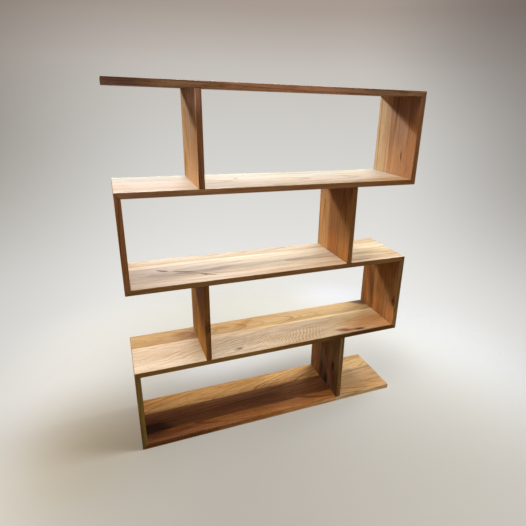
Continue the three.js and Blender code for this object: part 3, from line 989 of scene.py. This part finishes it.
KNOTS = {
    "shelf_4": (((-0.118, 0.032, 0.009), 0.0035, 1.3),),
    "shelf_3": (
        ((-0.380, 0.004, 0.009), 0.0050, 1.6, 5.0), ((-0.310, -0.030, 0.009), 0.0015, 2.0, 24.0),
        ((-0.250, -0.066, 0.009), 0.0040, 1.6, 6.0),
    ),
    "shelf_2": (((-0.144, -0.089, 0.009), 0.003, 1.7), ((0.345, -0.106, 0.009), 0.004, 2.6)),
    "end_panel_2": (((-0.04, -0.109, 0.009), 0.007, 1.6),),
    "divider_2": (((-0.016, -0.118, 0.0), 0.007, 1.5),),
    "divider_1": (((-0.083, 0.018, 0.009), 0.006, 3.0), ((-0.017, -0.077, 0.009), 0.006, 1.8)),
}
CRACKS = {
    "shelf_3": (
        ((-0.383, 0.006, 0.009), 0.048, 0.0075, -0.62),
        ((-0.318, -0.018, 0.009), 0.110, 0.0042, -0.33),
        ((-0.245, -0.064, 0.009), 0.075, 0.0055, -0.58),
    ),
    "end_panel_4": (((-0.065, -0.047, 0.009), 0.046, 0.0040, 0.10),),
}
for name, marks in (("ripples", RIPPLES), ("knots", KNOTS), ("cracks", CRACKS)):
    print(name + ":", sum(map(len, marks.values())))

# %% Which faces are mitred
LEFT, RIGHT = -1, 1
TIERS = range(1, 5)
PANEL_SIDE = {tier: LEFT if tier % 2 else RIGHT for tier in TIERS}


def shelf_mitres(number):
    """The mitre sides at a shelf's left and right end: -1 for a panel above it, +1 for a panel below it."""
    sides = {LEFT: 0, RIGHT: 0}
    if number in PANEL_SIDE:
        sides[PANEL_SIDE[number]] = -1
    if number - 1 in PANEL_SIDE:
        sides[PANEL_SIDE[number - 1]] = 1
    return sides[LEFT], sides[RIGHT]


for number in range(1, 6):
    print("shelf", number, "mitres", shelf_mitres(number))

# %% The staves of one board as inputs
import random

chance = random.Random(11)


def set_inputs(modifier, values):
    """Sets a Geometry Nodes modifier's inputs by the names of its sockets."""
    for item in modifier.node_group.interface.items_tree:
        if item.item_type == "SOCKET" and item.in_out == "INPUT" and item.name in values:
            modifier[item.identifier] = values[item.name]


HEART_SIDE = (0.085, 0.0, -0.085)                       # back, middle and front stave: metres across
HEART_BELOW = ((0.035, 0.09), (0.06, 0.16), (0.035, 0.09))    # the same: metres below, from and to
END_GRAIN = (0.62, 0.52, 0.44)                          # end grain drinks more oil than the long edge


def stave_log(row):
    """The heart of a stave's log, and its figure: slant, ring width and boldness of the rings."""
    along = chance.uniform(-8, 8)
    across = chance.uniform(-0.03, 0.03) + HEART_SIDE[row]
    below = chance.uniform(*HEART_BELOW[row])
    slant = chance.uniform(-0.08, 0.08)
    ring_width = chance.uniform(0.0035, 0.0060)
    boldness = chance.uniform(0.9, 1.5)
    return (along, across, -below), (slant, ring_width, boldness)


def stave_inputs(node):
    """The tints, hearts and figures of a board's staves, by the names that the tree gives them."""
    drawn = [stave_log(row) for row in range(3)]
    logs = [LOGS.get((node, row), log) for row, log in enumerate(drawn)]
    tints = list(STAVES[node])
    if len(tints) == 2:
        tints.append(tints[1])
        logs[2] = logs[1]
    inputs = {}
    for row, tint, (heart, growth) in zip(("Back", "Middle", "Front"), tints, logs):
        inputs.update({f"{row} tint": linear(*tint), f"{row} pith": heart, f"{row} figure": growth})
    edge = linear(*EDGES[node])
    inputs["Edge tint"] = edge
    inputs["End tint"] = [END_GRAIN[0] * edge[0], END_GRAIN[1] * edge[1], END_GRAIN[2] * edge[2], 1.0]
    return inputs


print("a back stave has its heart", HEART_BELOW[0], "m below")

# %% Make one board from its frame node
NO_SEAM = -1.0                                          # metres: far outside every board


def make_board(node, mitres, standing):
    """The finished board that stands for one node of the frame."""
    low, high = [Vector(corner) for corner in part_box(node)]
    extent = high - low
    length, thickness = (extent.z, extent.x) if standing else (extent.x, extent.z)
    depth = extent.y
    kind = node.split("_")[0]
    seam_shares = SEAM_SHARES.get(node, SEAM_SHARES.get(kind))
    back_seam, front_seam = [depth * (0.5 - share) for share in seam_shares]
    half_size = Vector((length, depth, thickness)) / 2
    seams = (back_seam, front_seam if len(STAVES[node]) > 2 else NO_SEAM, 0)
    material = oiled_oak(node, half_size, seams, FIGURE.get(node, 1.0))
    maker = bpy.data.objects.new(f"{node}_maker", bpy.data.meshes.new(f"{node}_maker"))
    scene.collection.objects.link(maker)
    shared = {"Length": length, "Thickness": thickness, "Back seam": back_seam, "Front seam": front_seam}
    blank = maker.modifiers.new("blank", "NODES")
    blank.node_group = blank_tree
    set_inputs(blank, {**shared, "Depth": depth, "Ease ends": float(kind != "divider")})
    bevel = maker.modifiers.new("ease", "BEVEL")
    bevel.width = ARRIS_RADIUS
    bevel.segments = ARRIS_SEGMENTS
    bevel.limit_method = "WEIGHT"
    finish = maker.modifiers.new("place", "NODES")
    finish.node_group = place_tree
    set_inputs(finish, {
        **shared, **stave_inputs(node), "Start mitre": float(mitres[0]), "End mitre": float(mitres[1]),
        "Standing": float(standing), "Centre": (low + high) / 2, "Finish": material,
    })
    ready = maker.evaluated_get(bpy.context.evaluated_depsgraph_get())
    board = bpy.data.objects.new(f"oak_{node}", bpy.data.meshes.new_from_object(ready))
    bpy.data.objects.remove(maker)
    scene.collection.objects.link(board)
    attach(board, "root")
    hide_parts(node)
    return board


print("boards of two staves:", [node for node, tints in STAVES.items() if len(tints) == 2])

# %% Make all thirteen boards
boards = {}
for number in range(1, 6):
    node = f"shelf_{number}"
    boards[node] = make_board(node, shelf_mitres(number), False)
for tier in TIERS:
    outer = 1 if PANEL_SIDE[tier] == LEFT else -1
    boards[f"end_panel_{tier}"] = make_board(f"end_panel_{tier}", (outer, outer), True)
    boards[f"divider_{tier}"] = make_board(f"divider_{tier}", (0, 0), True)
for node, board in boards.items():
    print(node, len(board.data.polygons), "faces")

# %% [markdown]
# ## The hidden joinery
# Loose tenons and dowels sit in their mortises and holes inside the boards. Their shape in the frame is
# right, so they stay as they are and only get their wood: beech, pale pink-brown with fine short flecks and
# no oil.

# %% Raw beech for tenons and dowels
beech = bpy.data.materials.new("raw_beech")
beech.use_nodes = True
tree = beech.node_tree
shader = tree.nodes["Principled BSDF"]
spot = add(tree, "ShaderNodeTexCoord").outputs["Object"]
flecks = stretched_noise(tree, spot, (900, 900, 260))
patches = noise(tree, spot, 40.0, 2.0)
colour = blend_colour(tree, patches, linear(222, 186, 146), linear(206, 164, 124))
colour = blend_colour(tree, smooth_step(tree, flecks, 0.55, 0.70), colour, linear(168, 120, 84))
dry = calc(tree, "MULTIPLY_ADD", flecks, 0.2, 0.62)
bump = add(tree, "ShaderNodeBump", {"Height": flecks, "Strength": 0.3, "Distance": 0.0002})
for made, name in ((colour, "Base Color"), (dry, "Roughness"), (bump.outputs["Normal"], "Normal")):
    tree.links.new(made, shader.inputs[name])
joinery = [piece for name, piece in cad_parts.items() if name.startswith(("tenon", "dowel"))]
for piece in joinery:
    for material_slot in piece.material_slots:
        material_slot.material = beech
print("joinery pieces in beech:", len(joinery))

# %% [markdown]
# ## The floor
# The bookshelf stands in a pale room with no visible line between floor and wall. The floor is one large
# square. It takes the shadow near the bookshelf, and from 0.75 m to 1.5 m out it turns clear, so the world
# takes over. Only the camera sees its glow, which adds to what the floor lamps give. The glow grows from
# nothing in front to its full strength behind, is strongest at the far left and cooler at the right, and
# has a few soft patches: a painted shadow beside the lowest end panel and one beside the right end, and
# painted light behind the middle and further back on the right. Every other ray meets a warmer floor, and
# that is what the floor sends back up to the undersides of the wood.

# %% The floor as a mesh
def single_face(name, corners):
    """An object in the scene that is one face between its corners."""
    mesh = bpy.data.meshes.new(name)
    mesh.from_pydata(corners, [], [range(len(corners))])
    made = bpy.data.objects.new(name, mesh)
    scene.collection.objects.link(made)
    return made


FLOOR_HALF_SIDE = 4.0                                   # metres
SQUARE = ((-1, -1), (1, -1), (1, 1), (-1, 1))
floor = single_face("floor", [(FLOOR_HALF_SIDE * x, FLOOR_HALF_SIDE * y, 0) for x, y in SQUARE])
print("floor", 2 * FLOOR_HALF_SIDE, "m wide")

# %% The floor's colour and its glow
SEEN_FLOOR = linear(206, 200, 190)
BOUNCING_FLOOR = linear(201, 172, 110)
MIDDLE_GLOW = linear(159, 162, 156)
LEFT_GLOW = linear(198, 198, 196)
RIGHT_GLOW = linear(147, 158, 172)
# painted shadows beside the lowest end panel and beside the right end, painted light behind the middle and
# further back on the right
PAINTED_FLOOR_SHADOW_AND_LIGHT = (                                       # middle, reach and tone
    ((-0.68, -0.113), (0.56, 0.56), (0.48, 0.41, 0.29)),
    ((0.00, 0.29), (0.48, 0.22), (1.90, 1.90, 2.10)),
    ((0.56, 0.08), (0.30, 0.36), (0.45, 0.50, 0.55)),
    ((0.75, 0.84), (0.40, 0.30), (1.4, 1.4, 1.65)),
)
stone = bpy.data.materials.new("floor")
stone.use_nodes = True
tree = stone.node_tree
shader = tree.nodes["Principled BSDF"]
shader.inputs["Roughness"].default_value = 0.8
spot = add(tree, "ShaderNodeTexCoord").outputs["Object"]
shown = add(tree, "ShaderNodeLightPath").outputs["Is Camera Ray"]
tree.links.new(blend_colour(tree, shown, BOUNCING_FLOOR, SEEN_FLOOR), shader.inputs["Base Color"])
right, backward = split(tree, spot)[:2]
off_middle = minus(tree, right, 0.125)
outward = calc(tree, "MULTIPLY_ADD", times(tree, off_middle, off_middle), 0.72, backward)
outer_glow = blend_colour(tree, smooth_step(tree, right, -1.0, 0.1), LEFT_GLOW, MIDDLE_GLOW)
outer_glow = blend_colour(tree, smooth_step(tree, right, 0.3, 1.3), outer_glow, RIGHT_GLOW)
glow = blend_colour(tree, smooth_step(tree, outward, -0.584, 0.84), (0, 0, 0, 1), outer_glow)
for middle, reach, tone in PAINTED_FLOOR_SHADOW_AND_LIGHT:
    shares = vector_calc(tree, "DIVIDE", vector_calc(tree, "SUBTRACT", spot, (*middle, 0)), (*reach, 1))
    inside = smooth_step(tree, vector_value(tree, "LENGTH", shares), 1.0, 0.03)
    glow = blend_colour(tree, inside, glow, vector_calc(tree, "MULTIPLY", glow, tone))
tree.links.new(glow, shader.inputs["Emission Color"])
tree.links.new(shown, shader.inputs["Emission Strength"])
print("patches in the glow:", len(PAINTED_FLOOR_SHADOW_AND_LIGHT))

# %% Let the floor turn clear further out
SOLID_UP_TO, CLEAR_FROM = 0.75, 1.5                     # metres from the middle
fade = smooth_step(tree, vector_value(tree, "LENGTH", spot), SOLID_UP_TO, CLEAR_FROM)
clear = add(tree, "ShaderNodeBsdfTransparent")
mixed = add(tree, "ShaderNodeMixShader", {0: fade, 1: shader.outputs[0], 2: clear.outputs[0]})
tree.links.new(mixed.outputs[0], tree.nodes["Material Output"].inputs["Surface"])
floor.data.materials.append(stone)
print("the floor is clear from", CLEAR_FROM, "m on")

# %% [markdown]
# ## The room
# The world is there to be looked at, for the lamps light the wood. Its tone follows the height of the view:
# lightest below level, where the floor lies behind the bookshelf, and darker and warmer high up. It is
# darker again some way off the direction of the glow, and on the right. The wood mirrors it at less than a
# third of its strength, and as light it gives only a faint fill.

# %% The tones of the room by height
ROOM_TONES = (
    (-1.00, (215, 214, 210)), (-0.60, (232, 231, 228)), (-0.45, (240, 239, 236)), (-0.27, (224, 223, 219)),
    (-0.09, (209, 208, 204)), (0.06, (198, 193, 187)), (0.17, (168, 156, 147)), (0.60, (150, 138, 128)),
)
world = bpy.data.worlds.new("room")
world.use_nodes = True
scene.world = world
tree = world.node_tree
tree.nodes.clear()
direction = add(tree, "ShaderNodeTexCoord").outputs["Generated"]
upward = split(tree, direction)[2]
ramp = add(tree, "ShaderNodeValToRGB", {0: calc(tree, "MULTIPLY_ADD", upward, 0.5, 0.5)})
stops = ramp.color_ramp.elements
for number, (height, tone) in enumerate(ROOM_TONES):
    stop = stops[number] if number < 2 else stops.new(0.5 + 0.5 * height)
    stop.position = 0.5 + 0.5 * height
    stop.color = linear(*tone)
print("tones from straight down to high up:", len(stops))

# %% The sides of the room
GLOW_DIRECTION = Vector((0.40, 0.917, 0.0)).normalized()
LOW_SIDE, HIGH_SIDE = (0.76, 0.76, 0.75, 1), (0.42, 0.38, 0.35, 1)
level = calc(tree, "SQRT", minus(tree, 1.0, times(tree, upward, upward)))
aligned = vector_value(tree, "DOT_PRODUCT", direction, tuple(GLOW_DIRECTION))
sideways = calc(tree, "DIVIDE", aligned, level)
side_tone = blend_colour(tree, smooth_step(tree, upward, -0.40, -0.05), LOW_SIDE, HIGH_SIDE)
at_side = times(tree, smooth_step(tree, sideways, 1.0, 0.74), smooth_step(tree, sideways, 0.35, 0.72))
room_colour = shade(tree, ramp.outputs[0], at_side, side_tone)
print("the room glows towards", [round(part, 2) for part in GLOW_DIRECTION])

# %% The right side of the room
RIGHT_DIRECTION = (0.934, -0.358, 0.0)
LOW_RIGHT, HIGH_RIGHT = (0.71, 0.70, 0.70, 1), (0.58, 0.57, 0.58, 1)
turned = vector_value(tree, "DOT_PRODUCT", direction, RIGHT_DIRECTION)
turned = calc(tree, "MULTIPLY_ADD", smooth_step(tree, upward, -0.08, 0.12), 0.08, turned)
at_right = times(tree, smooth_step(tree, turned, 0.22, 0.55), smooth_step(tree, upward, -0.50, -0.06))
right_tone = blend_colour(tree, smooth_step(tree, upward, -0.12, 0.12), LOW_RIGHT, HIGH_RIGHT)
room_colour = shade(tree, room_colour, at_right, right_tone)
print("it is darker towards", RIGHT_DIRECTION)

# %% Who sees the room
MIRRORED = 0.3                                          # how much of the room the oil mirrors
FILL_COLOUR, FILL_STRENGTH = (1.0, 0.98, 0.95, 1), 0.03
seen = add(tree, "ShaderNodeBackground", {"Color": room_colour, "Strength": 1.0})
fill = add(tree, "ShaderNodeBackground", {"Color": FILL_COLOUR, "Strength": FILL_STRENGTH})
path = add(tree, "ShaderNodeLightPath").outputs
mirrored = times(tree, path["Is Glossy Ray"], MIRRORED)
not_direct = calc(tree, "MAXIMUM", mirrored, path["Is Transmission Ray"])
looked_at = calc(tree, "MAXIMUM", path["Is Camera Ray"], not_direct)
room = add(tree, "ShaderNodeMixShader", {0: looked_at, 1: fill.outputs[0], 2: seen.outputs[0]})
add(tree, "ShaderNodeOutputWorld", {"Surface": room.outputs[0]})
print("nodes in the world:", len(tree.nodes))

# %% [markdown]
# ## Light
# The shadows in the photograph tell where the lamps hang. The upper boards throw slanting shadows on the
# left faces of the upright boards, and how steep these are gives the height and distance of a long strip
# lamp behind the bookshelf. It is made of four lengths of different strength, and a flag that stands
# between it and the bookshelf keeps it off the lowest tier. A second lamp hangs high behind on the right
# and lights the tops. Weaker ones at the left, in front and at the right stand for light from the walls,
# most of them warm. A cool one hangs low at the right, and the oil doesn't mirror it. All these light the
# boards only. The floor has two lamps that light nothing else: an even one, and one to the right that
# throws the soft shadow beside the lowest end panel.

# %% Hang the lamps
def lit_alone(name, objects):
    """A collection for light linking: a lamp that is given it lights these objects only."""
    collection = bpy.data.collections.new(name)
    for item in objects:
        collection.objects.link(item)
    return collection


def hang_lamp(name, place, target, width, height, watts, tint, lights_floor=False):
    """A rectangular lamp that faces its target, with its width level, and isn't seen itself."""
    light = bpy.data.lights.new(name, "AREA")
    light.shape = "RECTANGLE"
    light.size = width
    light.size_y = height
    light.energy = watts
    light.color = tint
    lamp = bpy.data.objects.new(name, light)
    scene.collection.objects.link(lamp)
    away = (Vector(place) - Vector(target)).normalized()
    side = Vector((0, 1, 0)) if abs(away.z) > 0.99 else Vector((0, 0, 1))
    level = side.cross(away).normalized()
    upward = away.cross(level)
    lamp.matrix_world = Matrix.Translation(place) @ Matrix((level, upward, away)).transposed().to_4x4()
    lamp.visible_camera = False
    lamp.light_linking.receiver_collection = floor_only if lights_floor else shelf_only
    if lights_floor:
        lamp.light_linking.blocker_collection = shelf_only
    return lamp


shelf_only = lit_alone("shelf_only", boards.values())
floor_only = lit_alone("floor_only", [floor])
WHITE = (1.0, 1.0, 1.0)
WARM = (1.0, 0.86, 0.62)
COOL = (0.66, 0.82, 1.0)
LAMPS = (                                               # name, place, target, width, height, watts, tint
    ("high_behind", (1.6, 1.10, 3.50), (0, 0, 0.3), 1.0, 0.5, 53, WHITE),
    ("high_left", (-2.2, 0.6, 2.6), (-0.2, 0, 0.6), 0.8, 0.6, 26, WHITE),
    ("high_front_left", (-2.0, -0.7, 2.8), (-0.2, 0, 0.6), 0.8, 0.6, 15, WARM),
    ("overhead_front", (-0.3, -0.75, 3.2), (0, 0, 0.3), 1.0, 0.3, 6, WARM),
    ("high_front", (-0.6, -2.6, 1.9), (0, 0, 0.6), 1.8, 0.8, 4.5, WHITE),
    ("high_right", (2.4, 0.2, 2.4), (0.3, 0, 0.3), 1.0, 1.0, 10, WARM),
)
STRIP_WATTS = {-2.2: 45, -1.1: 12, 0.0: 39, 1.1: 17}    # by the middle of each length, metres to the right
STRIP_BEHIND, STRIP_HEIGHT = 1.84, 2.06
STRIP_LENGTH, STRIP_WIDTH = 1.1, 0.06
for number, (middle, watts) in enumerate(STRIP_WATTS.items(), start=1):
    strip_place = (middle, STRIP_BEHIND, STRIP_HEIGHT)
    hang_lamp(f"strip_{number}", strip_place, (0, 0, 0.7), STRIP_LENGTH, STRIP_WIDTH, watts, WHITE)
for lamp_settings in LAMPS:
    hang_lamp(*lamp_settings)
low_right = hang_lamp("low_right", (1.6, 0.5, 0.9), (0.4, 0, 0.0), 0.6, 0.4, 34, COOL)
low_right.visible_glossy = False
hang_lamp("floor_even", (0, 0, 4.0), (0, 0, 0), 3.0, 3.0, 57, (1.0, 0.87, 0.69), lights_floor=True)
hang_lamp("floor_right", (1.3, -0.3, 2.4), (-0.3, 0, 0), 1.2, 1.2, 56, (0.86, 0.93, 1.0), lights_floor=True)

# %% A flag keeps the strip lamp off the lowest tier
FLAG_BEHIND = 1.0                                       # metres
FLAG_FOOT, FLAG_TOP = 0.02, 1.19
FLAG_HALF_LENGTH = 3.0
FLAG_CORNERS = ((-1, FLAG_FOOT), (1, FLAG_FOOT), (1, FLAG_TOP), (-1, FLAG_TOP))
flag = single_face("flag", [(FLAG_HALF_LENGTH * side, FLAG_BEHIND, height) for side, height in FLAG_CORNERS])
flag.visible_camera = False
flag.visible_diffuse = False
flag.visible_glossy = False
print("flag top at", FLAG_TOP, "m")

# %% Finish: plain display
scene.view_settings.view_transform = "Standard"
